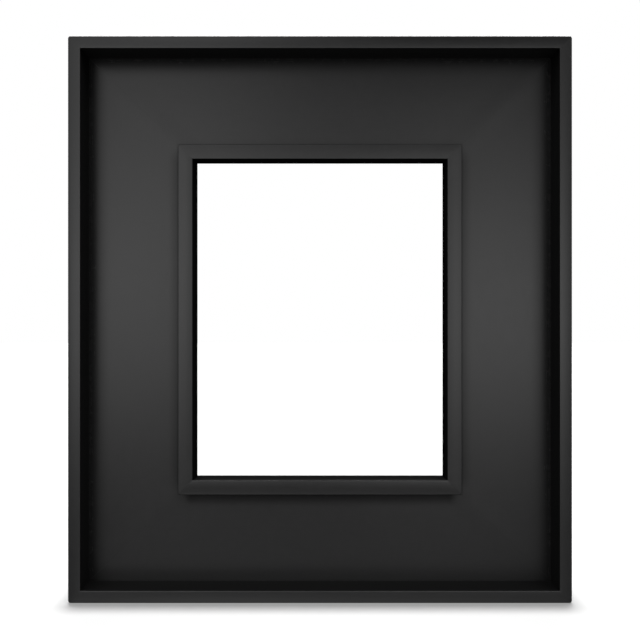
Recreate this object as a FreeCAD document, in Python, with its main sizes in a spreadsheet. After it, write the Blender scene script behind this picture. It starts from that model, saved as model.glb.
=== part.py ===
import FreeCAD, Part
import math
import os
import Sketcher
from FreeCAD import Matrix, Placement, Rotation, Vector

# Floating frame: a deep black floater frame for one picture panel, standing on its bottom rail.
# Row frame: +Z up, the front faces -Y, X = 0 is the middle, Z = 0 is the underside.
# Every mitred member is drawn in one corner frame: x runs along the member from the frame's
# outer corner, y runs inwards from the frame's outer edge, z runs from the front to the back.

doc = FreeCAD.newDocument("FloatingFrame")
sheet = doc.addObject("Spreadsheet::Sheet", "Sizes")

DIMENSIONS = [
    # overall
    ("outer_width", 406.4, "16 in"),
    ("outer_height", 457.2, "18 in"),
    ("opening_width", 209.6, "sight opening, 8 1/4 in"),
    ("opening_height", 266.7, "sight opening, 10 1/2 in"),
    # outer rails
    ("rail_face", 10.0, "front face of the rim"),
    ("rail_depth", 60.0, "front to back"),
    ("corner_round", 2.2, "rounding of the frame's four corners"),
    ("rail_ease_outer", 1.1, "eased outer front edge"),
    ("rail_ease_inner", 0.3, "eased inner front edge"),
    ("rail_ease_back", 0.8, "chamfer of the outer back edge"),
    # field boards
    ("recess_depth", 28.0, "rim front to field"),
    ("board_thick", 18.0, "field board"),
    ("tongue_start", 6.0, "field to the tongue's front side"),
    ("tongue_thick", 5.8, "tongue of a field board"),
    ("tongue_long", 4.7, "tongue of a field board"),
    ("groove_thick", 6.0, "groove of a rail"),
    ("groove_deep", 5.0, "groove of a rail"),
    ("sight_ease", 0.5, "eased sight edge behind"),
    # riser
    ("riser_face", 12.0, "width of the riser"),
    ("riser_rise", 6.0, "height of the riser over the field"),
    ("riser_inset", 1.0, "riser's front edge set back from the sight edge at the sides"),
    ("riser_lean_from", 1.0, "depth at which the riser's side walls start to lean in to the sight edge"),
    ("riser_round", 2.6, "rounding of the riser's outer corners"),
    ("riser_ease", 0.4, "eased front edges of the riser"),
    # mitre biscuits
    ("biscuit_long", 47.0, ""),
    ("biscuit_wide", 15.0, ""),
    ("biscuit_thick", 4.0, ""),
    ("biscuit_play", 0.15, "slot round a biscuit"),
    # v-nails
    ("nail_wing", 6.0, ""),
    ("nail_thick", 0.6, ""),
    ("nail_deep", 9.8, ""),
    ("nail_play", 0.05, ""),
    # corner gussets
    ("gusset_leg", 46.0, ""),
    ("gusset_blunt", 6.0, ""),
    ("gusset_thick", 12.0, ""),
    ("gusset_hole_along", 31.0, ""),
    ("gusset_hole_in", 9.5, ""),
    ("gusset_screw_radius", 2.0, ""),
    ("gusset_screw_long", 25.0, ""),
    ("gusset_head_radius", 4.0, ""),
    ("gusset_head_sunk", 0.1, ""),
    # strap hangers and their rings
    ("strap_height", 330.0, "over the underside"),
    ("strap_pivot_out", 140.0, "from the middle to the ring's bar"),
    ("strap_long", 38.0, ""),
    ("strap_wide", 12.0, ""),
    ("strap_thick", 1.2, ""),
    ("strap_hole_near", 10.5, ""),
    ("strap_hole_far", 28.0, ""),
    ("barrel_radius", 2.8, ""),
    ("ring_wire_radius", 1.5, ""),
    ("ring_play", 0.1, ""),
    ("ring_bow_radius", 11.0, ""),
    ("ring_corner_radius", 3.0, ""),
    # turn buttons
    ("button_pivot_in", 17.0, "from the sight edge to the pivot"),
    ("button_spread", 55.0, "from the middle to a side button"),
    ("button_wide", 12.0, ""),
    ("button_heel", 7.0, ""),
    ("button_reach", 26.0, ""),
    ("button_thick", 1.6, ""),
    ("button_step", 4.0, "offset of the arm"),
    ("button_gap", 0.2, ""),
    ("button_play", 0.06, ""),
    # pan head screws
    ("screw_radius", 1.75, ""),
    ("screw_long", 14.0, ""),
    ("head_radius", 3.6, ""),
    ("head_height", 2.2, ""),
    ("pilot_play", 0.05, ""),
    ("pilot_deep", 13.6, ""),
    # wall bumpers
    ("bumper_radius", 4.0, ""),
    ("bumper_thick", 2.0, ""),
    ("bumper_from_end", 24.0, ""),
]


class Size:
    """A length that is both a formula of the sheet's cells and its number."""

    def __init__(self, text, value):
        self.text, self.value = text, float(value)

    def _with(self, other, sign, value):
        return Size("(%s %s %s)" % (self.text, sign, other.text), value)

    def __add__(self, other):
        other = size(other)
        return self._with(other, "+", self.value + other.value)

    def __radd__(self, other):
        return size(other) + self

    def __sub__(self, other):
        other = size(other)
        return self._with(other, "-", self.value - other.value)

    def __rsub__(self, other):
        return size(other) - self

    def __mul__(self, other):
        other = size(other)
        return self._with(other, "*", self.value * other.value)

    def __rmul__(self, other):
        return size(other) * self

    def __truediv__(self, other):
        other = size(other)
        return self._with(other, "/", self.value / other.value)

    def __neg__(self):
        return size(0) - self


def size(number):
    return number if isinstance(number, Size) else Size("%.9g" % number if number >= 0 else "(0 - %.9g)" % -number, number)


def root(number):
    return Size("sqrt(%s)" % number.text, math.sqrt(number.value))


sheet.set("A1", "dimension")
sheet.set("B1", "mm")
sheet.set("C1", "what it is")
S = {}
for row, (alias, value, note) in enumerate(DIMENSIONS, start=2):
    sheet.set("A%d" % row, alias)
    sheet.set("B%d" % row, "%g" % value)
    sheet.set("C%d" % row, note)
    sheet.setAlias("B%d" % row, alias)
    S[alias] = Size("Sizes.%s" % alias, value)
doc.recompute()


class _Sizes:
    def __getattr__(self, name):
        return S[name]


s = _Sizes()

NODES = []


def node(obj, name):
    """obj is one finished piece, written to its own file under this name."""
    obj.Label = name
    NODES.append(obj)
    return obj


def bind(obj, prop, length):
    obj.setExpression(prop, size(length).text)


def body(name):
    return doc.addObject("PartDesign::Body", name)


def sketch(owner, name, plane="XY_Plane", height=None):
    sk = owner.newObject("Sketcher::SketchObject", name)
    support = [f for f in owner.Origin.OriginFeatures if f.Role == plane][0]
    sk.AttachmentSupport = [(support, "")]
    sk.MapMode = "FlatFace"
    if height is not None:
        bind(sk, "AttachmentOffset.Base.z", height)
    return sk


def fix(sk, edge, end, x, y):
    """Dimensions one end of an edge from the sketch's origin."""
    x, y = size(x), size(y)
    k = sk.addConstraint(Sketcher.Constraint("DistanceX", -1, 1, edge, end, x.value))
    sk.setExpression("Constraints[%d]" % k, x.text)
    k = sk.addConstraint(Sketcher.Constraint("DistanceY", -1, 1, edge, end, y.value))
    sk.setExpression("Constraints[%d]" % k, y.text)


def outline(sk, corners, bends=()):
    """A closed outline through corners. bends = {i: (centre x, centre y, radius, ccw)} makes the edge that leaves corner i an arc."""
    bends = dict(bends)
    n, first = len(corners), sk.GeometryCount
    corners = [(size(x), size(y)) for x, y in corners]
    starts = []
    for i in range(n):
        a = Vector(corners[i][0].value, corners[i][1].value, 0)
        b = Vector(corners[(i + 1) % n][0].value, corners[(i + 1) % n][1].value, 0)
        if i in bends:
            cx, cy, radius, ccw = bends[i]
            c = Vector(size(cx).value, size(cy).value, 0)
            a0, a1 = math.atan2(a.y - c.y, a.x - c.x), math.atan2(b.y - c.y, b.x - c.x)
            if not ccw:
                a0, a1 = a1, a0
            if a1 <= a0:
                a1 += 2 * math.pi
            circle = Part.Circle(c, Vector(0, 0, 1), size(radius).value)
            sk.addGeometry(Part.ArcOfCircle(circle, a0, a1), False)
            starts.append((1, 2) if ccw else (2, 1))
        else:
            sk.addGeometry(Part.LineSegment(a, b), False)
            starts.append((1, 2))
    for i in range(n):
        j = (i + 1) % n
        sk.addConstraint(Sketcher.Constraint("Coincident", first + i, starts[i][1], first + j, starts[j][0]))
    for i, (x, y) in enumerate(corners):
        fix(sk, first + i, starts[i][0], x, y)
    for i in bends:
        k = sk.addConstraint(Sketcher.Constraint("Radius", first + i, size(bends[i][2]).value))
        sk.setExpression("Constraints[%d]" % k, size(bends[i][2]).text)
    return sk


def circles(sk, places, radius):
    for place in places:
        x, y = place[:2]
        r = size(place[2] if len(place) > 2 else radius)
        g = sk.addGeometry(Part.Circle(Vector(size(x).value, size(y).value, 0), Vector(0, 0, 1), r.value), False)
        k = sk.addConstraint(Sketcher.Constraint("Radius", g, r.value))
        sk.setExpression("Constraints[%d]" % k, r.text)
        fix(sk, g, 3, x, y)
    return sk


def pad(owner, name, sk, length, midplane=False):
    made = owner.newObject("PartDesign::Pad", name)
    made.Profile = sk
    bind(made, "Length", length)
    if midplane:
        made.SideType = "Symmetric" if "SideType" in made.PropertiesList else 0
    doc.recompute()
    return made


def pocket(owner, name, sk, length, forward=False):
    """Cuts down from the sketch, or up from it when forward is set, and checks that it really cut."""
    before = owner.Shape.Volume
    made = owner.newObject("PartDesign::Pocket", name)
    made.Profile = sk
    made.Reversed = forward
    bind(made, "Length", length)
    doc.recompute()
    if owner.Shape.Volume >= before - 1e-3:
        raise RuntimeError("%s cut nothing" % name)
    return made


def edges(owner, test):
    """Names of the tip's edges whose bounding box passes test."""
    return ["Edge%d" % (i + 1) for i, e in enumerate(owner.Tip.Shape.Edges) if test(e, e.BoundBox)]


def ease(owner, name, names, radius, kind="Fillet"):
    if not names:
        raise RuntimeError("%s found no edges" % name)
    made = owner.newObject("PartDesign::" + kind, name)
    made.Base = (owner.Tip if owner.Tip != made else made.BaseFeature, names)
    bind(made, "Radius" if kind == "Fillet" else "Size", radius)
    doc.recompute()
    return made


def near(a, b, by=1e-4):
    return abs(a - b) < by


# ---------------------------------------------------------------- where the four corners are
FRONT = -(s.rail_depth + s.bumper_thick) / 2

# name: (length of the member, its crossing inner corner x, its inner edge y,
#        axes of the corner frame in the row frame, origin of the corner frame)
UP, DOWN, EAST, WEST, BACK = Vector(0, 0, 1), Vector(0, 0, -1), Vector(1, 0, 0), Vector(-1, 0, 0), Vector(0, 1, 0)
end_x, end_y = (s.outer_width - s.opening_width) / 2, (s.outer_height - s.opening_height) / 2
MEMBERS = {
    "top": (s.outer_width, end_x, end_y, EAST, DOWN, -s.outer_width / 2, s.outer_height),
    "right": (s.outer_height, end_y, end_x, DOWN, WEST, s.outer_width / 2, s.outer_height),
    "bottom": (s.outer_width, end_x, end_y, WEST, UP, s.outer_width / 2, size(0)),
    "left": (s.outer_height, end_y, end_x, UP, EAST, -s.outer_width / 2, size(0)),
}


def turned(x_axis, y_axis, z_axis):
    m = Matrix(
        x_axis.x, y_axis.x, z_axis.x, 0,
        x_axis.y, y_axis.y, z_axis.y, 0,
        x_axis.z, y_axis.z, z_axis.z, 0,
        0, 0, 0, 1,
    )
    return Placement(m).Rotation


def place(obj, rotation, x, y, z):
    obj.Placement = Placement(Vector(size(x).value, size(y).value, size(z).value), rotation)
    for axis, length in (("x", x), ("y", y), ("z", z)):
        bind(obj, "Placement.Base." + axis, length)


def at_corner(obj, member):
    _, _, _, along, inward, x, z = MEMBERS[member]
    place(obj, turned(along, inward, BACK), x, FRONT, z)


def strip(owner, name, length, out_x, out_y, wide, start, thick, rounding):
    """A mitred strip whose outer tips share the rounding of the assembled corner."""
    k = 1 - 1 / math.sqrt(2)
    x0, y0, r = size(out_x), size(out_y), size(rounding)
    corners = [
        (x0 + r * k, y0 + r * k),
        (x0 + r, y0),
        (length - x0 - r, y0),
        (length - x0 - r * k, y0 + r * k),
        (length - x0 - wide, y0 + wide),
        (x0 + wide, y0 + wide),
    ]
    bends = {0: (x0 + r, y0 + r, r, True), 2: (length - x0 - r, y0 + r, r, True)}
    sk = outline(sketch(owner, name + "_plan", height=start), corners, bends)
    return pad(owner, name + "_pad", sk, thick)


# ---------------------------------------------------------------- outer rails
apex = s.rail_face / 2
slot_half = s.nail_thick / 2 + s.nail_play
for side, (length, _, _, _, _, _, _) in MEMBERS.items():
    b = body("rail_" + side)
    strip(b, "rail_" + side, length, 0, 0, s.rail_face, 0, s.rail_depth, s.corner_round)
    # the groove that the field board's tongue sits in
    low, high = s.rail_face - s.groove_deep, s.rail_face + 2
    sk = outline(
        sketch(b, "groove_plan_" + side, height=s.recess_depth + s.tongue_start - (s.groove_thick - s.tongue_thick) / 2),
        [(low, low), (length - low, low), (length - high, high), (high, high)],
    )
    pocket(b, "groove_" + side, sk, s.groove_thick, forward=True)
    # slots of the v-nails, from behind, one wing of each nail in either rail
    reach = apex + s.nail_wing + s.nail_play
    sk = sketch(b, "nail_slots_plan_" + side, height=s.rail_depth)
    outline(sk, [(apex - slot_half, apex - slot_half), (reach, apex - slot_half), (reach, apex + slot_half), (apex - slot_half, apex + slot_half)])
    outline(sk, [(length - reach, apex - slot_half), (length - apex + slot_half, apex - slot_half), (length - apex + slot_half, apex + slot_half), (length - reach, apex + slot_half)])
    pocket(b, "nail_slots_" + side, sk, s.nail_deep * 2 + 0.4)
    # eased edges
    rf, rd = s.rail_face.value, s.rail_depth.value
    outer = edges(b, lambda e, k: near(k.ZMin, 0) and near(k.ZMax, 0) and k.YMax < s.corner_round.value - 0.3)
    ease(b, "outer_edge_" + side, outer, s.rail_ease_outer)
    inner = edges(b, lambda e, k: near(k.ZMin, 0) and near(k.ZMax, 0) and near(k.YMin, rf) and near(k.YMax, rf))
    ease(b, "inner_edge_" + side, inner, s.rail_ease_inner)
    back = edges(b, lambda e, k: near(k.ZMin, rd) and near(k.ZMax, rd) and k.YMax < s.corner_round.value - 0.3)
    ease(b, "back_edge_" + side, back, s.rail_ease_back, "Chamfer")
    at_corner(b, side)
    node(b, "outer_rail_" + side)

# ---------------------------------------------------------------- field boards
half_biscuit, biscuit_rise = s.biscuit_long / 2, s.biscuit_wide / 2
biscuit_curve = (half_biscuit * half_biscuit + biscuit_rise * biscuit_rise) / (2 * biscuit_rise)
BISCUITS_ALONG = (0.27, 0.73)


def lens(cx, cy, ux, uy, grow):
    """Outline of a biscuit centred on (cx, cy), long along (ux, uy)."""
    a, w = half_biscuit + grow, biscuit_rise + grow
    r = (a * a + w * w) / (2 * w)
    sink = r - w
    return (
        [(cx - ux * a, cy - uy * a), (cx + ux * a, cy + uy * a)],
        {0: (cx - uy * sink, cy + ux * sink, r, True), 1: (cx + uy * sink, cy - ux * sink, r, True)},
    )


button_places = {"left": (-1, 1), "right": (-1, 1), "top": (0,), "bottom": (0,)}
for side, (length, in_x, in_y, _, _, _, _) in MEMBERS.items():
    b = body("board_" + side)
    f = s.rail_face
    dx, dy = in_x - f, in_y - f
    sk = outline(
        sketch(b, "board_plan_" + side, height=s.recess_depth),
        [(f, f), (length - f, f), (length - in_x, in_y), (in_x, in_y)],
    )
    pad(b, "board_pad_" + side, sk, s.board_thick)
    # tongue, on the same mitre line
    tip = s.tongue_long * dx / dy
    sk = outline(
        sketch(b, "tongue_plan_" + side, height=s.recess_depth + s.tongue_start),
        [(f - tip, f - s.tongue_long), (length - f + tip, f - s.tongue_long), (length - f, f), (f, f)],
    )
    pad(b, "tongue_pad_" + side, sk, s.tongue_thick)
    # biscuit slots at both mitres
    mitre = root(dx * dx + dy * dy)
    ux, uy = dx / mitre, dy / mitre
    sk = sketch(b, "slots_plan_" + side, height=s.recess_depth + (s.board_thick - s.biscuit_thick) / 2 - s.biscuit_play)
    for share in BISCUITS_ALONG:
        corners, bends = lens(f + dx * share, f + dy * share, ux, uy, s.biscuit_play)
        outline(sk, corners, bends)
        corners, bends = lens(length - f - dx * share, f + dy * share, -ux, uy, s.biscuit_play)
        outline(sk, corners, bends)
    pocket(b, "slots_" + side, sk, s.biscuit_thick + s.biscuit_play * 2, forward=True)
    # pilot holes behind: gusset screws, turn button screws, strap screws
    thin, thick = s.screw_radius + s.pilot_play, s.gusset_screw_radius + s.pilot_play
    holes = [(f + s.gusset_hole_along, f + s.gusset_hole_in, thick), (length - f - s.gusset_hole_along, f + s.gusset_hole_in, thick)]
    holes += [(length / 2 + s.button_spread * k, in_y - s.button_pivot_in, thin) for k in button_places[side]]
    if side in ("left", "right"):
        up = s.strap_height if side == "left" else length - s.strap_height
        edge = s.outer_width / 2 - s.strap_pivot_out
        holes += [(up, edge - s.strap_hole_near, thin), (up, edge - s.strap_hole_far, thin)]
    sk = circles(sketch(b, "pilots_plan_" + side, height=s.recess_depth + s.board_thick), holes, thin)
    pocket(b, "pilots_" + side, sk, s.pilot_deep)
    back = (s.recess_depth + s.board_thick).value
    sight = edges(b, lambda e, k: near(k.ZMin, back) and near(k.ZMax, back) and near(k.YMin, in_y.value) and near(k.YMax, in_y.value))
    ease(b, "sight_edge_" + side, sight, s.sight_ease, "Chamfer")
    at_corner(b, side)
    node(b, "field_board_" + side)

# ---------------------------------------------------------------- riser strips
for side, (length, in_x, in_y, _, _, _, _) in MEMBERS.items():
    b = body("riser_" + side)
    over_x, over_y = (0, s.riser_inset) if side in ("left", "right") else (s.riser_inset, 0)
    out_x, out_y = in_x - over_x - s.riser_face, in_y - over_y - s.riser_face
    start = s.recess_depth - s.riser_rise
    strip(b, "riser_" + side, length, out_x, out_y, s.riser_face, start, s.riser_rise, s.riser_round)
    z, yo, yi = start.value, out_y.value, (out_y + s.riser_face).value
    front = edges(b, lambda e, k: near(k.ZMin, z) and near(k.ZMax, z) and (k.YMax < yo + s.riser_round.value - 0.3 or near(k.YMin, yi)))
    ease(b, "riser_edges_" + side, front, s.riser_ease)
    if side in ("left", "right"):
        # the inner wall leans in until it meets the sight edge of the board behind it
        inner, back = out_y + s.riser_face, s.recess_depth
        low, far = out_x + s.riser_face, length - out_x - s.riser_face
        lean = [(inner, start + s.riser_lean_from), (inner + s.riser_inset, back), (inner, back)]
        sk = outline(sketch(b, "riser_lean_%s" % side, "YZ_Plane", low), lean)
        pad(b, "riser_lean_%s_pad" % side, sk, far - low)
    at_corner(b, side)
    node(b, "riser_strip_" + side)


# ---------------------------------------------------------------- groups of like fasteners
def group(name, pieces):
    made = doc.addObject("Part::Feature", name)
    made.Shape = Part.makeCompound(pieces)
    made.Placement = Placement()
    return node(made, name)


def copies(master, placements):
    shape = master.Shape.copy()
    shape.Placement = Placement()
    return [shape.transformed(p.toMatrix(), True) for p in placements]


def corner_placement(side, x=0.0, y=0.0, z=0.0):
    _, _, _, along, inward, ox, oz = MEMBERS[side]
    rotation = turned(along, inward, BACK)
    origin = Vector(ox.value, FRONT.value, oz.value)
    return Placement(origin + rotation.multVec(Vector(x, y, z)), rotation)


# biscuits: flat ovals, two in each mitre of the field boards
master = body("biscuit")
corners, bends = lens(size(0), size(0), size(1), size(0), size(0))
sk = outline(sketch(master, "biscuit_plan"), corners, bends)
pad(master, "biscuit_pad", sk, s.biscuit_thick)
placements = []
for side, (length, in_x, in_y, _, _, _, _) in MEMBERS.items():
    f = s.rail_face.value
    dx, dy = in_x.value - f, in_y.value - f
    z = (s.recess_depth + (s.board_thick - s.biscuit_thick) / 2).value
    for share in BISCUITS_ALONG:
        p = corner_placement(side, f + dx * share, f + dy * share, z)
        placements.append(p.multiply(Placement(Vector(), Rotation(Vector(0, 0, 1), math.degrees(math.atan2(dy, dx))))))
group("mitre_biscuits", copies(master, placements))

# v-nails: two stacked in each mitre of the rails, an angle of thin steel strip
master = body("v_nail")
half, reach = s.nail_thick / 2, apex + s.nail_wing
sk = outline(
    sketch(master, "v_nail_plan"),
    [(apex - half, apex - half), (reach, apex - half), (reach, apex + half), (apex + half, apex + half), (apex + half, reach), (apex - half, reach)],
)
pad(master, "v_nail_pad", sk, s.nail_deep)
deep = s.nail_deep.value
placements = [corner_placement(side, 0, 0, s.rail_depth.value - 0.1 - deep * (k + 1) - 0.1 * k) for side in MEMBERS for k in (0, 1)]
group("rail_v_nails", copies(master, placements))

# ---------------------------------------------------------------- corner gussets
GUSSETS = {"top": "top_left", "right": "top_right", "bottom": "bottom_right", "left": "bottom_left"}
seat = s.recess_depth + s.board_thick
for side, corner in GUSSETS.items():
    b = body("gusset_" + corner)
    f, leg, blunt = s.rail_face, s.rail_face + s.gusset_leg, s.rail_face + s.gusset_blunt
    sk = outline(sketch(b, "gusset_plan_" + corner, height=seat), [(f, f), (leg, f), (leg, blunt), (blunt, leg), (f, leg)])
    pad(b, "gusset_pad_" + corner, sk, s.gusset_thick)
    one, two = f + s.gusset_hole_along, f + s.gusset_hole_in
    sk = circles(sketch(b, "gusset_holes_plan_" + corner, height=seat + s.gusset_thick), [(one, two), (two, one)], s.gusset_screw_radius)
    doc.recompute()
    hole = b.newObject("PartDesign::Hole", "gusset_holes_" + corner)
    hole.Profile = sk
    doc.recompute()
    hole.ThreadType = 0
    hole.DepthType = "ThroughAll"
    bind(hole, "Diameter", (s.gusset_screw_radius + s.pilot_play) * 2)
    hole.HoleCutType = "Countersink"
    hole.HoleCutCustomValues = True
    bind(hole, "HoleCutDiameter", (s.gusset_head_radius + s.gusset_head_sunk + s.pilot_play) * 2)
    hole.HoleCutCountersinkAngle = 90.0
    doc.recompute()
    back = (seat + s.gusset_thick).value
    rim = edges(b, lambda e, k: near(k.ZMin, back) and near(k.ZMax, back) and e.Curve.TypeId == "Part::GeomLine" and k.YMin > f.value + 0.1 and k.XMin > f.value + 0.1)
    ease(b, "gusset_edge_" + corner, rim, size(0.8), "Chamfer")
    at_corner(b, side)
    node(b, "corner_gusset_" + corner)


# ---------------------------------------------------------------- screws
def turned_screw(name, head, shank_radius, long):
    """A wood screw along z, its head outside, its point at z = -long. head is the head's half outline from the axis outwards."""
    b = body(name)
    r = shank_radius
    points = [(0, -long), (r * 0.95, -long + r * 2), (r, -long + r * 2.2)] + head
    sk = outline(sketch(b, name + "_profile", plane="XZ_Plane"), points)
    made = b.newObject("PartDesign::Revolution", name + "_body")
    made.Profile = sk
    made.ReferenceAxis = (sk, ["V_Axis"])
    made.Angle = 360.0
    doc.recompute()
    return b


def cross_recess(b, name, top, reach, wide, deep):
    a, w = size(reach), size(wide) / 2
    corners = [(a, w), (w, w), (w, a), (-w, a), (-w, w), (-a, w), (-a, -w), (-w, -w), (-w, -a), (w, -a), (w, -w), (a, -w)]
    sk = outline(sketch(b, name + "_recess_plan", height=top), corners)
    pocket(b, name + "_recess", sk, deep)


hr, hh, sr = s.head_radius, s.head_height, s.screw_radius
pan = turned_screw("pan_screw", [(sr, size(0)), (hr, size(0)), (hr, hh * 0.45), (hr * 0.86, hh * 0.8), (hr * 0.5, hh), (size(0), hh)], sr, s.screw_long)
cross_recess(pan, "pan_screw", hh, 2.0, 0.9, 1.5)

gh, gr = s.gusset_head_radius, s.gusset_screw_radius
flat = turned_screw("flat_screw", [(gr, gr - gh), (gh, size(0)), (size(0), size(0))], gr, s.gusset_screw_long)
cross_recess(flat, "flat_screw", size(0), 2.3, 1.0, 1.8)

outwards = turned(WEST, UP, BACK)  # a screw's z runs out of the back


def screw_at(x, y, z, spin):
    return Placement(Vector(x, y, z), outwards.multiply(Rotation(Vector(0, 0, 1), spin)))


board_back = (FRONT + seat).value
W, H = s.outer_width.value, s.outer_height.value
placements = []
for k, side in enumerate(MEMBERS):
    f = s.rail_face.value
    one, two = f + s.gusset_hole_along.value, f + s.gusset_hole_in.value
    for j, (x, y) in enumerate(((one, two), (two, one))):
        p = corner_placement(side, x, y, (seat + s.gusset_thick - s.gusset_head_sunk).value)
        placements.append(screw_at(p.Base.x, p.Base.y, p.Base.z, 17 + 37 * k + 61 * j))
group("gusset_screws", copies(flat, placements))

strap_y = board_back + s.strap_thick.value
placements = [
    screw_at(sign * (s.strap_pivot_out.value + along), strap_y, s.strap_height.value, 12 + 40 * k + 25 * sign)
    for sign in (-1, 1)
    for k, along in enumerate((s.strap_hole_near.value, s.strap_hole_far.value))
]
group("strap_screws", copies(pan, placements))

button_out = s.opening_width / 2 + s.button_pivot_in
button_up = s.opening_height / 2 + s.button_pivot_in
middle = s.outer_height / 2
# name: (pivot x, pivot z, the way the arm points when it is turned clear of the opening)
BUTTONS = {
    "left_upper": (-button_out, middle + s.button_spread, UP),
    "left_lower": (-button_out, middle - s.button_spread, DOWN),
    "right_upper": (button_out, middle + s.button_spread, UP),
    "right_lower": (button_out, middle - s.button_spread, DOWN),
    "top": (size(0), middle + button_up, UP),
    "bottom": (size(0), middle - button_up, DOWN),
}
button_y = (s.button_thick + s.button_gap * 2).value
placements = [screw_at(x.value, board_back + button_y, z.value, 20 + 47 * k) for k, (x, z, _) in enumerate(BUTTONS.values())]
group("turn_button_screws", copies(pan, placements))

# ---------------------------------------------------------------- turn buttons
# z = 0 is the board's back; the arm is stepped so that it clears the edge of a 4 mm panel
for name, (x, z, arm) in BUTTONS.items():
    b = body("button_" + name)
    low, t, step = s.button_gap, s.button_thick, s.button_step
    h0, h1 = s.button_heel, s.button_heel + s.button_step
    profile = [
        (-h0, low), (h0, low), (h1, low + step), (s.button_reach, low + step),
        (s.button_reach, low + step + t), (h1 - t * 0.42, low + step + t), (h0 - t * 0.42, low + t), (-h0, low + t),
    ]
    sk = outline(sketch(b, "button_profile_" + name, plane="XZ_Plane"), profile)
    pad(b, "button_pad_" + name, sk, s.button_wide, midplane=True)
    ends = edges(b, lambda e, k: near(k.XMin, k.XMax) and near(k.YMin, k.YMax) and (near(k.XMin, -h0.value) or near(k.XMin, s.button_reach.value)))
    ease(b, "button_ends_" + name, ends, s.button_wide / 2 - 0.4)
    sk = circles(sketch(b, "button_hole_plan_" + name, height=low + t + 1), [(size(0), size(0))], s.screw_radius + s.button_play)
    pocket(b, "button_hole_" + name, sk, t + 2)
    # x along the arm, z out of the back
    place(b, turned(arm, BACK.cross(arm), BACK), x, FRONT + seat, z)
    node(b, "turn_button_" + name)

# ---------------------------------------------------------------- strap hangers and D-rings
# the strap: x runs outwards from the ring's bar, z = 0 is the board's back
for name, out, across in (("left", WEST, -s.strap_pivot_out), ("right", EAST, s.strap_pivot_out)):
    spin = turned(out, BACK.cross(out), BACK)
    b = body("strap_" + name)
    R, t = s.barrel_radius, s.strap_thick
    meet = root(R * R - (R - t) * (R - t))
    sk = sketch(b, "strap_profile_" + name, plane="XZ_Plane")
    outline(sk, [(size(0), size(0)), (s.strap_long, size(0)), (s.strap_long, t), (meet, t)], {3: (size(0), R, R, True)})
    circles(sk, [(size(0), R)], s.ring_wire_radius + s.ring_play)
    pad(b, "strap_pad_" + name, sk, s.strap_wide, midplane=True)
    ends = edges(b, lambda e, k: near(k.XMin, s.strap_long.value) and near(k.XMax, s.strap_long.value) and near(k.YMin, k.YMax))
    ease(b, "strap_end_" + name, ends, s.strap_wide / 2 - 0.4)
    sk = circles(sketch(b, "strap_holes_plan_" + name, height=t + 1), [(s.strap_hole_near, size(0)), (s.strap_hole_far, size(0))], s.screw_radius + 0.25)
    pocket(b, "strap_holes_" + name, sk, t + 2)
    place(b, spin, across, FRONT + seat, s.strap_height)
    node(b, "d_ring_strap_" + name)

    # the ring: a straight bar in the strap's barrel, two tight corners and a round bow
    b = body("ring_" + name)
    bow, c = s.ring_bow_radius, s.ring_corner_radius
    bar = bow - c
    spine = sketch(b, "ring_line_" + name, height=s.barrel_radius)
    outline(
        spine,
        [(size(0), size(0)), (size(0), bar), (-c, bow), (-c - bow, size(0)), (-c, -bow), (size(0), -bar)],
        {1: (-c, bar, c, True), 2: (-c, size(0), bow, True), 3: (-c, size(0), bow, True), 4: (-c, -bar, c, True)},
    )
    wire = sketch(b, "ring_section_" + name, plane="XZ_Plane")
    circles(wire, [(size(0), s.barrel_radius)], s.ring_wire_radius)
    doc.recompute()
    pipe = b.newObject("PartDesign::AdditivePipe", "ring_pipe_" + name)
    pipe.Profile = wire
    pipe.Spine = (spine, ["Edge%d" % k for k in range(1, 7)])
    doc.recompute()
    place(b, spin, across, FRONT + seat, s.strap_height)
    node(b, "d_ring_" + name)

# ---------------------------------------------------------------- wall bumpers
master = body("bumper")
sk = circles(sketch(master, "bumper_plan"), [(size(0), size(0))], s.bumper_radius)
pad(master, "bumper_pad", sk, s.bumper_thick)
top = edges(master, lambda e, k: near(k.ZMin, s.bumper_thick.value) and near(k.ZMax, s.bumper_thick.value))
ease(master, "bumper_edge", top, size(0.6))
inset, away = s.rail_face.value / 2, s.bumper_from_end.value
placements = [
    Placement(Vector(sx * (W / 2 - inset), (FRONT + s.rail_depth).value, z), outwards)
    for sx in (-1, 1)
    for z in (away, H - away)
]
group("wall_bumpers", copies(master, placements))

# ---------------------------------------------------------------- check and write
doc.recompute()
for obj in doc.Objects:
    if {"Invalid", "Error"} & set(obj.State):
        raise RuntimeError("%s failed: %s" % (obj.Label, obj.State))
os.makedirs("parts", exist_ok=True)
for obj in NODES:
    shape = obj.Shape
    if shape.isNull() or not shape.isValid() or not shape.Solids:
        raise RuntimeError("%s has no valid solid" % obj.Label)
for obj in NODES:
    obj.Shape.exportStep("parts/%s.step" % obj.Label)
    box = obj.Shape.BoundBox
    print(
        "%-26s solids %d  volume %10.1f  x %.2f..%.2f  y %.2f..%.2f  z %.2f..%.2f"
        % (obj.Label, len(obj.Shape.Solids), obj.Shape.Volume, box.XMin, box.XMax, box.YMin, box.YMax, box.ZMin, box.ZMax)
    )
print(len(NODES), "nodes")
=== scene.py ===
"""Looks of the floating frame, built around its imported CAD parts: satin black lacquer in front,
bare wood, plywood and plated hardware behind. Metres; the frame stands on z = 0 and faces -Y."""

import math

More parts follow.
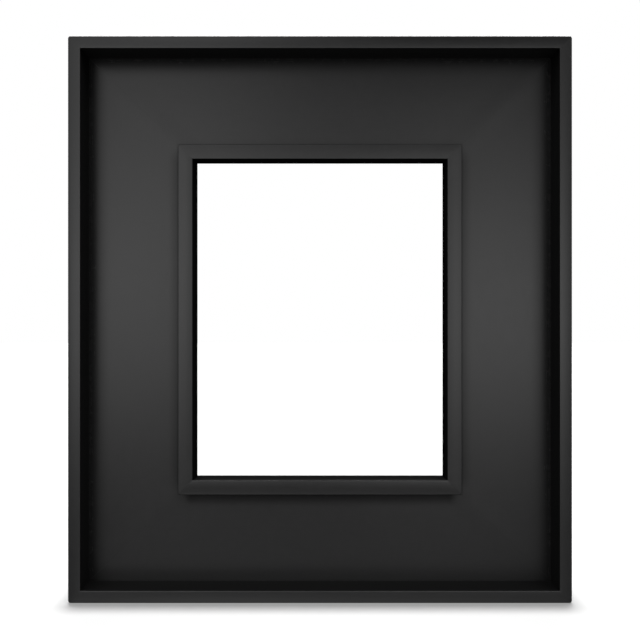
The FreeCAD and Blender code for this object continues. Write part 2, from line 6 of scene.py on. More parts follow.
import bpy
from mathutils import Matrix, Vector


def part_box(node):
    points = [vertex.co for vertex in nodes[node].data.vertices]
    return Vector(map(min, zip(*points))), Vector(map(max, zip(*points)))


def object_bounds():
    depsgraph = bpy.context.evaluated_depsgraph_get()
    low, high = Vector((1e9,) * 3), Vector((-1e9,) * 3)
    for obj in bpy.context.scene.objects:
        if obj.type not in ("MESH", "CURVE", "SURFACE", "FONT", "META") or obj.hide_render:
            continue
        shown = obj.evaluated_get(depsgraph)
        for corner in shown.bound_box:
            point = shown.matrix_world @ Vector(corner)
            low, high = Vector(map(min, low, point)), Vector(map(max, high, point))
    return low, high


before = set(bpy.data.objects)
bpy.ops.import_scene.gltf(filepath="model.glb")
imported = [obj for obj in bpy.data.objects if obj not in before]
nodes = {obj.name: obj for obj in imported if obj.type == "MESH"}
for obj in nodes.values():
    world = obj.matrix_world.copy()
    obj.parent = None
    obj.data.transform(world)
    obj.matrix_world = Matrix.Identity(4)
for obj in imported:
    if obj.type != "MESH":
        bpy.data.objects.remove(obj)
cad_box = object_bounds()

scene = bpy.context.scene
scene.view_settings.view_transform = "Standard"
scene.view_settings.look = "None"
scene.view_settings.exposure = 0.0
scene.view_settings.gamma = 1.0

# the places that the finishes depend on, in millimetres, all read from the parts
MM = 1000.0
low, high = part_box("outer_rail_left")
FRONT, RAIL_BACK = low.y * MM, high.y * MM
OUT_X = -cad_box[0][0] * MM
MID_Z = (cad_box[0][2] + cad_box[1][2]) / 2 * MM
OUT_Z = cad_box[1][2] * MM - MID_Z
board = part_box("field_board_right")
FIELD, BOARD_BACK = board[0].y * MM, board[1].y * MM
OPEN_X = board[0].x * MM
OPEN_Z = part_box("field_board_top")[0].z * MM - MID_Z
IN_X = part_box("corner_gusset_top_right")[1].x * MM
IN_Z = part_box("corner_gusset_top_right")[1].z * MM - MID_Z
RISER_X = OPEN_X + 1.0
RISER_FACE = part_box("riser_strip_right")[1].x * MM - RISER_X
RIM = (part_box("outer_rail_right")[1].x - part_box("outer_rail_right")[0].x) * MM


# ---------------------------------------------------------------- node building
class Finish:
    """One procedural material. Every call adds a node and returns its output."""

    def __init__(self, name):
        self.material = bpy.data.materials.new(name)
        self.material.use_nodes = True
        self.tree = self.material.node_tree
        self.shader = self.tree.nodes["Principled BSDF"]
        where = self.tree.nodes.new("ShaderNodeTexCoord")
        self.normal = self.part(where.outputs["Normal"])
        scaled = self.tree.nodes.new("ShaderNodeVectorMath")
        scaled.operation = "SCALE"
        self.tree.links.new(where.outputs["Object"], scaled.inputs[0])
        scaled.inputs["Scale"].default_value = MM
        self.place = scaled.outputs["Vector"]
        self.x, self.y, self.z = self.part(self.place)

    def feed(self, value, socket):
        if isinstance(value, bpy.types.NodeSocket):
            self.tree.links.new(value, socket)
        else:
            socket.default_value = value

    def part(self, vector):
        n = self.tree.nodes.new("ShaderNodeSeparateXYZ")
        self.tree.links.new(vector, n.inputs[0])
        return n.outputs[0], n.outputs[1], n.outputs[2]

    def join(self, x, y, z):
        n = self.tree.nodes.new("ShaderNodeCombineXYZ")
        for value, socket in zip((x, y, z), n.inputs):
            self.feed(value, socket)
        return n.outputs[0]

    def math(self, operation, *values, clamp=False):
        n = self.tree.nodes.new("ShaderNodeMath")
        n.operation = operation
        n.use_clamp = clamp
        for value, socket in zip(values, n.inputs):
            self.feed(value, socket)
        return n.outputs[0]

    def add(self, a, b):
        return self.math("ADD", a, b)

    def less(self, a, b):
        return self.math("SUBTRACT", a, b)

    def times(self, a, b):
        return self.math("MULTIPLY", a, b)

    def size(self, a):
        return self.math("ABSOLUTE", a)

    def largest(self, *values):
        out = values[0]
        for v in values[1:]:
            out = self.math("MAXIMUM", out, v)
        return out

    def smallest(self, *values):
        out = values[0]
        for v in values[1:]:
            out = self.math("MINIMUM", out, v)
        return out

    def ramp(self, value, a, b, to_a=0.0, to_b=1.0):
        """to_a where value is a, to_b where it is b, smooth between and level outside."""
        n = self.tree.nodes.new("ShaderNodeMapRange")
        n.interpolation_type = "SMOOTHSTEP"
        n.clamp = True
        flip = a > b
        if flip:
            a, b, to_a, to_b = b, a, to_b, to_a
        for value_, name in ((value, "Value"), (a, "From Min"), (b, "From Max"), (to_a, "To Min"), (to_b, "To Max")):
            self.feed(value_, n.inputs[name])
        return n.outputs[0]

    def noise(self, where, detail=2.0, rough=0.5, scale=1.0, distort=0.0):
        """Noise of about 0 to 1 with its middle at 0.5. where is in the noise's own wavelengths."""
        n = self.tree.nodes.new("ShaderNodeTexNoise")
        n.noise_dimensions = "3D"
        n.inputs["Scale"].default_value = scale
        n.inputs["Detail"].default_value = detail
        n.inputs["Roughness"].default_value = rough
        n.inputs["Distortion"].default_value = distort
        self.tree.links.new(where, n.inputs["Vector"])
        return n.outputs["Fac"]

    def cells(self, where, scale=1.0, feature="F1"):
        n = self.tree.nodes.new("ShaderNodeTexVoronoi")
        n.feature = feature
        n.inputs["Scale"].default_value = scale
        self.tree.links.new(where, n.inputs["Vector"])
        return n

    def stretch(self, sx, sy, sz, shift=(0.0, 0.0, 0.0), vector=None):
        n = self.tree.nodes.new("ShaderNodeMapping")
        n.vector_type = "POINT"
        self.tree.links.new(vector or self.place, n.inputs["Vector"])
        n.inputs["Location"].default_value = shift
        n.inputs["Scale"].default_value = (sx, sy, sz)
        return n.outputs[0]

    def mix(self, share, a, b):
        n = self.tree.nodes.new("ShaderNodeMix")
        n.data_type = "RGBA"
        n.clamp_factor = True
        self.feed(share, n.inputs[0])
        self.feed(a if not isinstance(a, tuple) else (*a, 1.0), n.inputs[6])
        self.feed(b if not isinstance(b, tuple) else (*b, 1.0), n.inputs[7])
        return n.outputs[2]

    def blend(self, share, a, b):
        """A number between a and b."""
        return self.add(a, self.times(share, self.less(b, a)))

    def shade(self, colour, by):
        """colour made lighter or darker by a factor."""
        n = self.tree.nodes.new("ShaderNodeVectorMath")
        n.operation = "SCALE"
        self.feed(colour if not isinstance(colour, tuple) else colour, n.inputs[0])
        self.feed(by, n.inputs["Scale"])
        return n.outputs["Vector"]

    def bump(self, height, reach, strength=1.0):
        """Relief of height 0 to 1, reach in millimetres."""
        n = self.tree.nodes.new("ShaderNodeBump")
        n.inputs["Strength"].default_value = strength
        n.inputs["Distance"].default_value = reach / MM
        self.feed(height, n.inputs["Height"])
        if getattr(self, "relief", None) is not None:
            self.tree.links.new(self.relief, n.inputs["Normal"])
        self.relief = n.outputs[0]
        return self.relief

    def finish(self, colour=None, roughness=None, metallic=None, ior=None, specular=None):
        for value, name in ((colour, "Base Color"), (roughness, "Roughness"), (metallic, "Metallic"), (ior, "IOR"), (specular, "Specular IOR Level")):
            if value is not None:
                self.feed(value if not isinstance(value, tuple) else (*value, 1.0), self.shader.inputs[name])
        if getattr(self, "relief", None) is not None:
            self.tree.links.new(self.relief, self.shader.inputs["Normal"])
        return self.material


# ---------------------------------------------------------------- finishes
def eased(g):
    """1 on rounded and chamfered edges, 0 on flat faces."""
    nx, ny, nz = g.normal
    flat = g.largest(g.size(nx), g.size(ny), g.size(nz))
    return g.ramp(flat, 0.985, 0.86)


def wood(g, along, seed, light, dark, ring=3.4, figure=1.0):
    """Plain-sawn pale hardwood. Returns its colour and the height of its fibres."""
    u, v = (g.x, g.z) if along == "x" else (g.z, g.x)
    where = g.join(u, v, g.y)
    wander = g.noise(g.stretch(0.0045, 0.017, 0.017, (seed, seed * 0.7, 0.3), where), detail=2.0)
    ripple = g.noise(g.stretch(0.016, 0.11, 0.11, (seed * 1.3, 0.0, seed), where), detail=2.0)
    across = g.add(v, g.times(g.less(wander, 0.5), 46.0))
    heart = 25.0 * math.sin(seed * 2.1) + (155.0 if along == "z" else 175.0)
    away = g.less(g.size(across) if along == "z" else g.size(g.less(across, MID_Z)), heart)
    under = g.add(g.times(g.less(u, 30.0 * math.sin(seed)), 0.055), g.add(g.y, 34.0 + 9.0 * math.cos(seed * 3.0)))
    radius = g.math("SQRT", g.add(g.times(away, away), g.times(under, under)))
    phase = g.math("FRACT", g.add(g.times(radius, 1.0 / ring), g.times(ripple, 0.5)))
    late = g.times(g.math("POWER", phase, 3.0), g.ramp(phase, 1.0, 0.93))
    fibre = g.noise(g.stretch(0.02, 1.5, 1.5, (seed, 0.0, 0.0), where), detail=4.0, rough=0.65)
    pores = g.ramp(g.noise(g.stretch(0.11, 3.1, 3.1, (0.0, seed, 0.0), where), detail=1.0), 0.66, 0.76)
    fleck = g.noise(g.stretch(0.008, 0.05, 0.05, (seed * 2.0, 0.0, 0.0), where), detail=1.0)
    share = g.add(g.times(late, 0.55 * figure), g.times(g.less(fibre, 0.5), 1.0 * figure))
    share = g.add(share, g.times(g.less(fleck, 0.5), 0.9))
    share = g.add(share, 0.28)
    colour = g.mix(share, light, dark)
    colour = g.mix(g.times(pores, 0.5), colour, tuple(c * 0.42 for c in dark))
    height = g.less(g.add(g.times(fibre, 0.5), g.times(late, 0.3)), g.times(pores, 0.6))
    return colour, height


def mitre_gap(g, corner_x, corner_z, run_x, run_z):
    x, z = g.size(g.x), g.size(g.less(g.z, MID_Z))
    long = math.hypot(run_x, run_z)
    return g.size(g.less(g.times(g.less(x, corner_x), run_z / long), g.times(g.less(z, corner_z), run_x / long)))


PAINT = 0.03
ROUGH = 0.21
# the walls and the edge of the opening are painted darker, a painted shade for the recesses, and are rougher and
# less glossy
WALL_TONE, WALL_ROUGH, WALL_GLOSS = 0.34, 0.62, 0.17
THROAT_TONE, THROAT_GLOSS = 0.80, 0.09


def lacquer(g, along, seed, gap, from_inside=None, wide=10.0, apex=0.3, crown=0.3, painted_falloff=0.0, painted_wall_shade=None, painted_seam_shade=None, painted_riser_shadow=None,
            wall_at=(0.86, 0.97), arris_highlight=0.0):
    """Sprayed satin black over fine closed grain. Returns colour and roughness, and adds its relief.
    gap is the distance from the mitre in millimetres. from_inside is the distance across the face
    from its inner edge: the sanded face is highest at apex of its width, and falls away by crown at
    its outer edge. painted_falloff is how much lighter and glossier the face is painted near its inner
    edge, and darker and duller towards its outer edge: painted sheen and shade. painted_wall_shade is 1
    next to the walls, where shade is painted darker and duller; painted_seam_shade is 1 in a thin painted
    shade line round the foot of the riser, and painted_riser_shadow is 1 in the painted shadow below and
    beside the riser. wall_at is how far a surface turns inwards, from and to, where it starts to count as
    a wall, which is painted darker as shade in the recess. arris_highlight is how much glossier the last
    millimetre before the inner edge is made, to draw a highlight line there."""
    edge = eased(g)
    nx, ny, nz = g.normal
    # walls that look at the middle of the frame are painted darker, a painted shade for the recess, and are rougher
    # and less glossy
    to_x, to_z = g.math("SIGN", g.x), g.math("SIGN", g.less(g.z, MID_Z))
    wall = g.ramp(g.largest(g.times(g.times(nx, to_x), -1.0), g.times(g.times(nz, to_z), -1.0)), *wall_at)
    cloud = g.noise(g.stretch(0.012, 0.012, 0.012, (seed, 0.0, seed)), detail=2.0)
    mottle = g.noise(g.stretch(0.16, 0.16, 0.16, (0.0, seed, 0.0)), detail=3.0)
    peel = g.noise(g.stretch(0.55, 0.55, 0.55, (seed, seed, 0.0)), detail=2.0)
    stretch = (0.035, 1.9, 1.9) if along == "x" else (1.9, 1.9, 0.035)
    grain = g.noise(g.stretch(*stretch, (seed, 0.0, 0.0)), detail=3.0, rough=0.6)
    speck = g.ramp(g.noise(g.stretch(1.3, 1.3, 1.3, (seed, 4.0, 0.0)), detail=0.0), 0.80, 0.86)
    tone = g.add(g.times(g.less(cloud, 0.5), 0.16), g.times(g.less(mottle, 0.5), 0.10))
    tone = g.add(g.add(tone, g.times(g.less(grain, 0.5), 0.12)), 1.0)
    worn = g.times(edge, g.ramp(g.noise(g.stretch(0.09, 0.09, 0.09, (seed, 0.0, 2.0)), detail=4.0, rough=0.7), 0.44, 0.66))
    tone = g.add(tone, g.times(worn, 0.45))
    tone = g.add(tone, g.times(speck, 0.4))
    rough = g.add(ROUGH, g.times(g.less(mottle, 0.5), 0.05))
    rough = g.add(rough, g.times(g.less(grain, 0.5), 0.05))
    rough = g.less(rough, g.times(edge, 0.045))
    broken = g.noise(g.stretch(0.05, 0.05, 0.05, (3.0, seed, 0.0)), detail=2.0)
    line = g.times(g.ramp(gap, 0.30, 0.08), g.ramp(broken, 0.36, 0.66, 0.1, 1.0))
    tone = g.times(tone, g.less(1.0, g.times(line, 0.22)))
    rough = g.add(rough, g.times(line, 0.05))
    sunk = g.times(g.ramp(gap, 15.0, 0.0), g.noise(g.stretch(0.02, 0.02, 0.02, (seed * 3.0, 0.0, 1.0)), detail=1.0))
    g.bump(sunk, 0.14)
    g.bump(g.less(1.0, line), 0.008)
    if from_inside is not None:
        far = g.times(g.less(g.math("DIVIDE", from_inside, wide, clamp=True), apex), 1.0 / (1.0 - apex))
        g.bump(g.times(g.less(1.0, g.times(far, far)), g.ramp(ny, -0.6, -0.9)), crown)
        outer = g.times(g.math("DIVIDE", from_inside, wide, clamp=True), g.ramp(ny, -0.6, -0.9))
    g.bump(peel, 0.012)
    g.bump(grain, 0.010)
    tone = g.times(tone, g.blend(wall, 1.0, WALL_TONE))
    g.gloss = g.add(g.blend(wall, 0.5, WALL_GLOSS), g.times(g.times(edge, 0.45), g.less(1.0, wall)))
    # the edge of the opening is painted darker still, a painted shade, and has no gloss but for a little on the
    # upward-facing sill
    throat = g.times(wall, g.ramp(g.largest(g.less(g.size(g.x), OPEN_X), g.less(g.size(g.less(g.z, MID_Z)), OPEN_Z)), 4.0, 2.0))
    tone = g.times(tone, g.blend(throat, 1.0, THROAT_TONE))
    g.gloss = g.times(g.gloss, g.blend(throat, 1.0, g.ramp(nz, 0.5, 0.9, 0.0, THROAT_GLOSS)))
    # painted sheen and shade: the face is painted lighter and glossier near its inner edge and darker and duller
    # towards its outer edge
    if from_inside is not None and painted_falloff:
        g.gloss = g.times(g.gloss, g.blend(outer, 1.0 + painted_falloff * 0.35, 1.0 - painted_falloff))
        tone = g.times(tone, g.blend(outer, 1.0 + painted_falloff * 0.35, 1.0 - painted_falloff))
    # painted highlight: the last millimetre before the inner edge is made glossier so that a highlight line shows
    # there
    if arris_highlight:
        arris = g.times(g.ramp(from_inside, 1.3, 0.5), g.ramp(ny, -0.6, -0.9))
        g.gloss = g.times(g.gloss, g.blend(arris, 1.0, 1.0 + arris_highlight))
    # painted shade: darker and duller next to the walls, a thin painted shade line round the foot of the riser, and
    # a painted shadow below and beside the riser
    if painted_wall_shade is not None:
        tone = g.times(tone, g.blend(painted_wall_shade, 1.0, 0.5))
        g.gloss = g.times(g.gloss, g.blend(painted_wall_shade, 1.0, 0.5))
        rough = g.add(rough, g.times(painted_wall_shade, 0.06))
        dim = g.times(g.blend(painted_seam_shade, 1.0, 0.5 if along == "x" else 0.84), g.blend(painted_riser_shadow, 1.0, 0.41))
        tone = g.times(tone, dim)
        g.gloss = g.times(g.gloss, dim)
    g.gloss = g.smallest(g.gloss, 1.0)
    return g.shade((PAINT, PAINT, PAINT * 1.01), tone), g.blend(wall, rough, WALL_ROUGH)


LIGHT_WOOD, DARK_WOOD = (0.60, 0.455, 0.285), (0.40, 0.265, 0.145)


def black_and_bare(kind, side, along, seed):
    """Lacquer wherever the spray reached, bare wood behind."""
    g = Finish("lacquered_%s_%s" % (kind, side))
    nx, ny, nz = g.normal
    x, z = g.size(g.x), g.size(g.less(g.z, MID_Z))
    if kind == "rail":
        gap = mitre_gap(g, OUT_X, OUT_Z, 1.0, 1.0)
        from_inside = g.less(z, OUT_Z - RIM) if along == "x" else g.less(x, OUT_X - RIM)
        # painted sheen and shade across the top and bottom rims, and a painted highlight line inside the bottom rim
        painted_falloff, arris_highlight = {"top": (0.26, 0.0), "bottom": (0.34, 0.9)}.get(side, (0.0, 0.0))
        black, black_rough = lacquer(g, along, seed, gap, from_inside, RIM, apex=0.3, crown=0.30, painted_falloff=painted_falloff, arris_highlight=arris_highlight)
    elif kind == "board":
        gap = mitre_gap(g, IN_X, IN_Z, IN_X - OPEN_X, IN_Z - OPEN_Z)
        # painted shade in the field next to the rim walls
        from_wall = g.smallest(g.less(OUT_X - RIM, x), g.less(MID_Z + OUT_Z - RIM, g.z))
        from_riser = g.largest(g.less(x, RISER_X + RISER_FACE), g.less(z, OPEN_Z + RISER_FACE))
        below = g.less(MID_Z - OPEN_Z - RISER_FACE, g.z)
        # painted shadow below the riser, and beside it on the side boards
        painted_riser_shadow = g.times(g.times(g.ramp(below, 12.5, 0.8), g.ramp(below, -0.5, 0.2)), g.ramp(x, RISER_X + RISER_FACE - 2.0, RISER_X + RISER_FACE - 10.0))
        if along == "z":
            painted_riser_shadow = g.times(g.ramp(from_riser, 10.0, 0.0), g.ramp(z, OPEN_Z + RISER_FACE + 1.0, OPEN_Z + RISER_FACE - 14.0, 0.0, 0.5))
        # a thin painted shade line round the foot of the riser, darker along the top and bottom boards
        painted_seam_shade = g.ramp(from_riser, 1.9, 0.9) if along == "x" else g.ramp(from_riser, 2.4, 1.5)
        black, black_rough = lacquer(g, along, seed, gap, painted_wall_shade=g.ramp(from_wall, 19.0, 0.0), painted_seam_shade=painted_seam_shade, painted_riser_shadow=painted_riser_shadow)
    else:
        gap = mitre_gap(g, RISER_X, OPEN_Z, 1.0, 1.0)
        from_inside = g.less(z, OPEN_Z) if along == "x" else g.less(x, RISER_X)
        # painted sheen and shade across the bottom riser, and a faint painted highlight along its inner edge
        crown, painted_falloff, arris_highlight = {"top": (0.12, 0.0, 0.0), "bottom": (0.24, 0.07, 0.45)}.get(side, (0.24, 0.0, 0.0))
        black, black_rough = lacquer(g, along, seed, gap, from_inside, RISER_FACE, apex=0.42, crown=crown, painted_falloff=painted_falloff,
                                     wall_at=(0.35, 0.75), arris_highlight=arris_highlight)
    lacquer_relief = g.relief
    if kind == "riser":
        return g.finish(black, black_rough, specular=g.gloss)
    ragged = g.noise(g.stretch(0.35, 0.35, 0.35, (seed, 0.0, 7.0)), detail=4.0, rough=0.65)
    drift = g.noise(g.stretch(0.03, 0.03, 0.03, (seed, 9.0, 0.0)), detail=2.0)
    if kind == "rail":
        from_edge = g.smallest(g.less(OUT_X, x), g.less(OUT_Z, z))  # back edge: distance in from the outside
        behind = g.ramp(ny, 0.45, 0.8)
        inside = g.times(g.ramp(g.y, BOARD_BACK - 0.4, BOARD_BACK), g.times(g.ramp(ny, 0.5, 0.2), g.ramp(from_edge, 6.0, 8.0)))
        reach = g.add(g.times(drift, 3.0), g.times(g.less(ragged, 0.5), 3.4))
        bare_behind = g.times(behind, g.ramp(g.less(from_edge, reach), -0.2, 1.1))
        bare = g.largest(bare_behind, inside)
    else:
        from_edge = g.largest(g.less(x, OPEN_X), g.less(z, OPEN_Z))  # distance out from the opening
        behind = g.ramp(ny, 0.45, 0.8)
        reach = g.add(g.times(drift, 5.5), g.times(g.less(ragged, 0.5), 5.0))
        bare = g.times(behind, g.ramp(g.less(from_edge, reach), -0.6, 3.2))
    plain, fibre = wood(g, along, seed, LIGHT_WOOD, DARK_WOOD)
    g.relief = None
    g.bump(fibre, 0.05)
    g.bump(g.noise(g.stretch(0.3, 0.3, 0.3), detail=3.0), 0.02)
    bare_relief = g.relief
    n = g.tree.nodes.new("ShaderNodeMix")
    n.data_type = "VECTOR"
    n.clamp_factor = True
    g.feed(bare, n.inputs[0])
    g.feed(lacquer_relief, n.inputs[4])
    g.feed(bare_relief, n.inputs[5])
    g.relief = n.outputs[1]
    colour = g.mix(bare, black, plain)
    rough = g.blend(bare, black_rough, g.add(0.66, g.times(g.less(fibre, 0.3), 0.12)))
    return g.finish(colour, rough, specular=g.blend(bare, g.gloss, 0.5))


def plywood(name, seed):
    """Birch plywood: plain faces, and plies on the edges. Its plies lie across Y."""
    g = Finish(name)
    nx, ny, nz = g.normal
    face, fibre = wood(g, "x", seed, (0.70, 0.565, 0.385), (0.55, 0.40, 0.245), ring=5.5, figure=0.55)
    deep = g.times(g.less(g.y, BOARD_BACK), 1.0 / (12.0 / 9.0))
    ply = g.math("FRACT", deep)
    even = g.math("GREATER_THAN", g.math("FRACT", g.times(deep, 0.5)), 0.5)
    pores = g.noise(g.stretch(2.4, 3.2, 2.4, (seed, 0.0, 0.0)), detail=2.0)
    long = g.noise(g.stretch(0.12, 5.0, 0.12, (seed, 0.0, 0.0)), detail=3.0)
    light_ply = g.mix(long, (0.66, 0.52, 0.345), (0.56, 0.42, 0.265))
    dark_ply = g.mix(g.ramp(pores, 0.35, 0.7), (0.44, 0.30, 0.175), (0.30, 0.19, 0.105))
    edge_colour = g.mix(even, light_ply, dark_ply)
    glue = g.largest(g.ramp(ply, 0.10, 0.02), g.ramp(ply, 0.90, 0.98))
    edge_colour = g.mix(g.times(glue, 0.7), edge_colour, (0.16, 0.095, 0.05))
    on_edge = g.ramp(g.size(ny), 0.6, 0.35)
    colour = g.mix(on_edge, face, edge_colour)
    soil = g.ramp(g.noise(g.stretch(0.06, 0.06, 0.06, (seed, 2.0, 0.0)), detail=3.0), 0.35, 0.8, 1.0, 0.86)
    colour = g.shade(colour, soil)
    g.bump(g.add(g.times(fibre, 0.5), g.times(g.times(on_edge, glue), -0.6)), 0.06)
    return g.finish(colour, g.add(0.60, g.times(g.less(fibre, 0.3), 0.15)))


def metal(name, seed, colour, dull, rough, spangle=0.0, brushed=None):
    """Plated steel with faint tarnish, handling marks and fine scratches."""
    g = Finish(name)
    cloud = g.noise(g.stretch(0.11, 0.11, 0.11, (seed, 0.0, 0.0)), detail=4.0, rough=0.6)
    fine = g.noise(g.stretch(2.2, 2.2, 2.2, (seed, 1.0, 0.0)), detail=3.0)
    tarnish = g.ramp(cloud, 0.42, 0.80)
    tint = g.mix(tarnish, colour, dull)
    height = fine
    r = g.add(rough, g.add(g.times(tarnish, 0.16), g.times(g.less(fine, 0.5), 0.10)))
    if spangle:
        crystal = g.cells(g.stretch(0.42, 0.42, 0.42, (seed, 0.0, 3.0)))
        shade = g.part(crystal.outputs["Color"])[0]
        tint = g.shade(tint, g.add(1.0 - spangle / 2, g.times(shade, spangle)))
        r = g.add(r, g.times(g.less(shade, 0.5), spangle * 0.35))
    if brushed:
        lines = g.noise(g.stretch(*brushed, (seed, 0.0, 0.0)), detail=3.0, rough=0.7)
        r = g.add(r, g.times(g.less(lines, 0.5), 0.14))
        height = g.add(g.times(fine, 0.4), g.times(lines, 0.8))
    edge = eased(g)
    r = g.less(r, g.times(edge, 0.05))
    g.bump(height, 0.012)
    return g.finish(tint, r, metallic=1.0)


def rubber(name):
    g = Finish(name)
    fine = g.noise(g.stretch(3.0, 3.0, 3.0), detail=3.0)
    dust = g.ramp(g.noise(g.stretch(0.5, 0.5, 0.5), detail=4.0, rough=0.7), 0.50, 0.85)
    colour = g.mix(g.times(dust, 0.35), (0.030, 0.030, 0.031), (0.16, 0.15, 0.14))
    g.bump(fine, 0.03)
    return g.finish(colour, g.add(0.62, g.times(dust, 0.18)))


def put_on(node, material):
    obj = nodes[node]
    for s in obj.material_slots:
        s.link = "OBJECT"
        s.material = material


SIDES = {"top": ("x", 1.3), "right": ("z", 2.6), "bottom": ("x", 4.1), "left": ("z", 5.7)}
for side, (along, seed) in SIDES.items():
    put_on("outer_rail_" + side, black_and_bare("rail", side, along, seed))
    put_on("field_board_" + side, black_and_bare("board", side, along, seed + 0.45))
    put_on("riser_strip_" + side, black_and_bare("riser", side, along, seed + 0.9))
for k, corner in enumerate(("top_left", "top_right", "bottom_right", "bottom_left")):
    put_on("corner_gusset_" + corner, plywood("birch_ply_" + corner, 1.7 + 2.3 * k))

NICKEL, NICKEL_DULL = (0.66, 0.64, 0.60), (0.47, 0.44, 0.40)
ZINC, ZINC_DULL = (0.60, 0.61, 0.62), (0.42, 0.42, 0.43)
put_on("rail_v_nails", metal("nail_steel", 3.1, (0.36, 0.36, 0.37), (0.24, 0.22, 0.20), 0.42))
zinc_screw = metal("zinc_screw", 5.2, (0.62, 0.61, 0.58), (0.44, 0.42, 0.38), 0.30)
for node in ("gusset_screws", "strap_screws", "turn_button_screws"):
    put_on(node, zinc_screw)
for k, side in enumerate(("left", "right")):
    put_on("d_ring_strap_" + side, metal("nickel_strap_" + side, 1.1 + k, NICKEL, NICKEL_DULL, 0.27, brushed=(0.05, 3.0, 3.0)))
    put_on("d_ring_" + side, metal("nickel_ring_" + side, 7.9 + k, NICKEL, NICKEL_DULL, 0.22))
for k, where in enumerate(("left_upper", "left_lower", "right_upper", "right_lower", "top", "bottom")):
    put_on("turn_button_" + where, metal("zinc_button_" + where, 2.2 + 1.7 * k, ZINC, ZINC_DULL, 0.33, spangle=0.16))
put_on("wall_bumpers", rubber("bumper_rubber"))

g = Finish("pressed_beech")
beech, beech_height = wood(g, "x", 6.6, (0.58, 0.42, 0.26), (0.45, 0.30, 0.17), ring=2.0, figure=0.6)
g.bump(beech_height, 0.08)
put_on("mitre_biscuits", g.finish(beech, 0.7))

# ---------------------------------------------------------------- stage and light
FLOOR_WHITE, FLOOR_GLOW = 0.2, 0.272
SUN_SIZE, SUN_TILT, SUN_STRENGTH = math.radians(3.5), math.radians(2.2), 10.35
# softboxes behind the frame: (place, looks at, width, height, strength in W)
LIGHTS = {
    "back_high": ((0.0, 1.30, 1.90), (0.0, 0.0, 0.20), 1.8, 0.8, 50.0),
}
# soft panels round the room: (degrees to the right of straight ahead of the frame, degrees up, focus, strength)
AMBIENT = 0.003
ROOM = [
    (-45, 45, 20, 2.02),
    (45, 45, 20, 2.50),
    (0, -45, 20, 0.85),
    (-24, 12, 40, 0.66),
    (-9, 27, 120, 1.80),
    (-9, 9, 120, 0.86),
    (9, 9, 120, 0.42),
    (18, 9, 120, 0.26),
    (-18, 0, 120, 1.10),
    (-9, 0, 120, 0.90),
    (9, 0, 120, 1.50),
    (18, 0, 120, 0.76),
    (-9, -27, 120, 1.12),
    (9, -27, 120, 0.64),
    (-48, -24, 40, 0.45),
    (48, -24, 40, 0.45),
    (-104, 4, 20, 0.32),
    (104, 4, 20, 0.32),
    (-137, -12, 24, 0.50),
    (137, -12, 24, 0.50),
    (180, -30, 12, 0.30),
]


def aim(obj, target):
    obj.rotation_euler = (Vector(target) - obj.location).to_track_quat("-Z", "Y").to_euler()


floor_mesh = bpy.data.meshes.new("floor")
F = 8.0
floor_mesh.from_pydata([(-F, -F, 0.0), (F, -F, 0.0), (F, F, 0.0), (-F, F, 0.0)], [], [(0, 1, 2, 3)])
floor = bpy.data.objects.new("floor", floor_mesh)
scene.collection.objects.link(floor)
white = bpy.data.materials.new("white_floor")
white.use_nodes = True
ws = white.node_tree.nodes["Principled BSDF"]
ws.inputs["Base Color"].default_value = (FLOOR_WHITE, FLOOR_WHITE, FLOOR_WHITE, 1.0)
ws.inputs["Roughness"].default_value = 0.9
ws.inputs["Specular IOR Level"].default_value = 0.0
ws.inputs["Emission Color"].default_value = (1.0, 1.0, 1.0, 1.0)
# the floor brightens into the background well away from the frame, so that no horizon shows
spot = white.node_tree.nodes.new("ShaderNodeNewGeometry")
away = white.node_tree.nodes.new("ShaderNodeVectorMath")
away.operation = "LENGTH"
swell = white.node_tree.nodes.new("ShaderNodeMapRange")
for socket, value in (("From Min", 1.6), ("From Max", 3.2), ("To Min", FLOOR_GLOW), ("To Max", FLOOR_GLOW + 0.3)):
    swell.inputs[socket].default_value = value
white.node_tree.links.new(spot.outputs["Position"], away.inputs[0])
white.node_tree.links.new(away.outputs["Value"], swell.inputs["Value"])
white.node_tree.links.new(swell.outputs["Result"], ws.inputs["Emission Strength"])
floor_mesh.materials.append(white)
floor.visible_diffuse = False
floor.visible_glossy = False
floor.visible_shadow = False

# the soft light from above that draws the frame's shadow on the floor
sun_data = bpy.data.lights.new("overhead", "SUN")
sun_data.angle = SUN_SIZE
sun_data.energy = SUN_STRENGTH
sun = bpy.data.objects.new("overhead", sun_data)
sun.rotation_euler = (-SUN_TILT, 0.0, 0.0)
scene.collection.objects.link(sun)
floor_only = bpy.data.collections.new("floor_only")
floor_only.objects.link(floor)
sun.light_linking.receiver_collection = floor_only

for name, (place, target, wide, tall, watts) in LIGHTS.items():
    data = bpy.data.lights.new(name, "AREA")
    data.shape = "RECTANGLE"
    data.size, data.size_y = wide, tall
    data.energy = watts
    light = bpy.data.objects.new(name, data)
    light.location = place
    scene.collection.objects.link(light)
    aim(light, target)

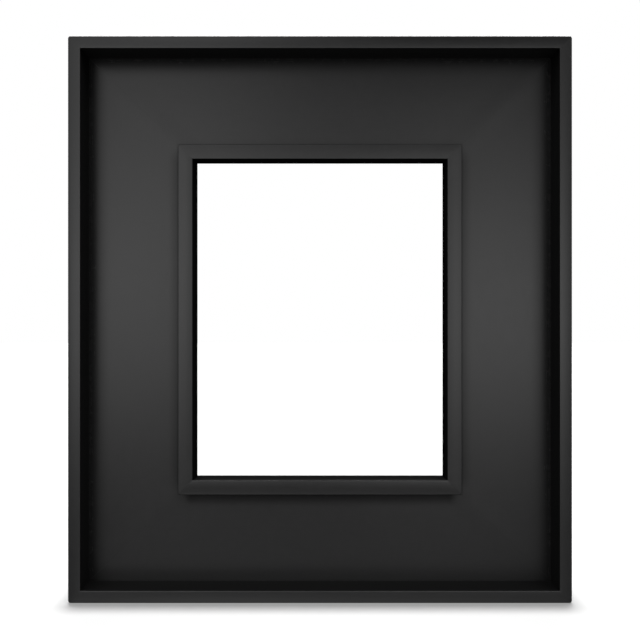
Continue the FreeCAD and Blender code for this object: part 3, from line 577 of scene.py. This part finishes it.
# the room: white where the camera looks past the frame, broad soft panels to everything else
world = bpy.data.worlds.new("studio")
scene.world = world
world.use_nodes = True
wt = world.node_tree
for n in list(wt.nodes):
    wt.nodes.remove(n)


def world_math(operation, a, b):
    n = wt.nodes.new("ShaderNodeMath")
    n.operation = operation
    for value, socket in ((a, n.inputs[0]), (b, n.inputs[1])):
        if isinstance(value, bpy.types.NodeSocket):
            wt.links.new(value, socket)
        else:
            socket.default_value = value
    return n.outputs[0]


way = wt.nodes.new("ShaderNodeTexCoord")
total = AMBIENT
for turn, rise, focus, strength in ROOM:
    a, e = math.radians(turn), math.radians(rise)
    towards = wt.nodes.new("ShaderNodeVectorMath")
    towards.operation = "DOT_PRODUCT"
    wt.links.new(way.outputs["Generated"], towards.inputs[0])
    towards.inputs[1].default_value = (math.sin(a) * math.cos(e), -math.cos(a) * math.cos(e), math.sin(e))
    glow = world_math("POWER", world_math("MAXIMUM", towards.outputs["Value"], 0.0), focus)
    total = world_math("ADD", world_math("MULTIPLY", glow, strength), total)
out = wt.nodes.new("ShaderNodeOutputWorld")
seen = wt.nodes.new("ShaderNodeBackground")
seen.inputs["Color"].default_value = (1.0, 1.0, 1.0, 1.0)
seen.inputs["Strength"].default_value = 1.0
room = wt.nodes.new("ShaderNodeBackground")
room.inputs["Color"].default_value = (1.0, 1.0, 1.0, 1.0)
rays = wt.nodes.new("ShaderNodeLightPath")
choose = wt.nodes.new("ShaderNodeMixShader")
wt.links.new(total, room.inputs["Strength"])
wt.links.new(rays.outputs["Is Camera Ray"], choose.inputs[0])
wt.links.new(room.outputs[0], choose.inputs[1])
wt.links.new(seen.outputs[0], choose.inputs[2])
wt.links.new(choose.outputs[0], out.inputs["Surface"])

# ---------------------------------------------------------------- camera
cam_data = bpy.data.cameras.new("camera")
cam_data.sensor_width = 36.0
cam_data.lens = 50.98
cam_data.clip_start = 0.01
cam_data.clip_end = 50.0
cam_data.dof.use_dof = False
camera = bpy.data.objects.new("camera", cam_data)
camera.location = (0.0, -0.761, 0.2282)
camera.rotation_euler = (math.radians(90.0), 0.0, 0.0)
scene.collection.objects.link(camera)
scene.camera = camera
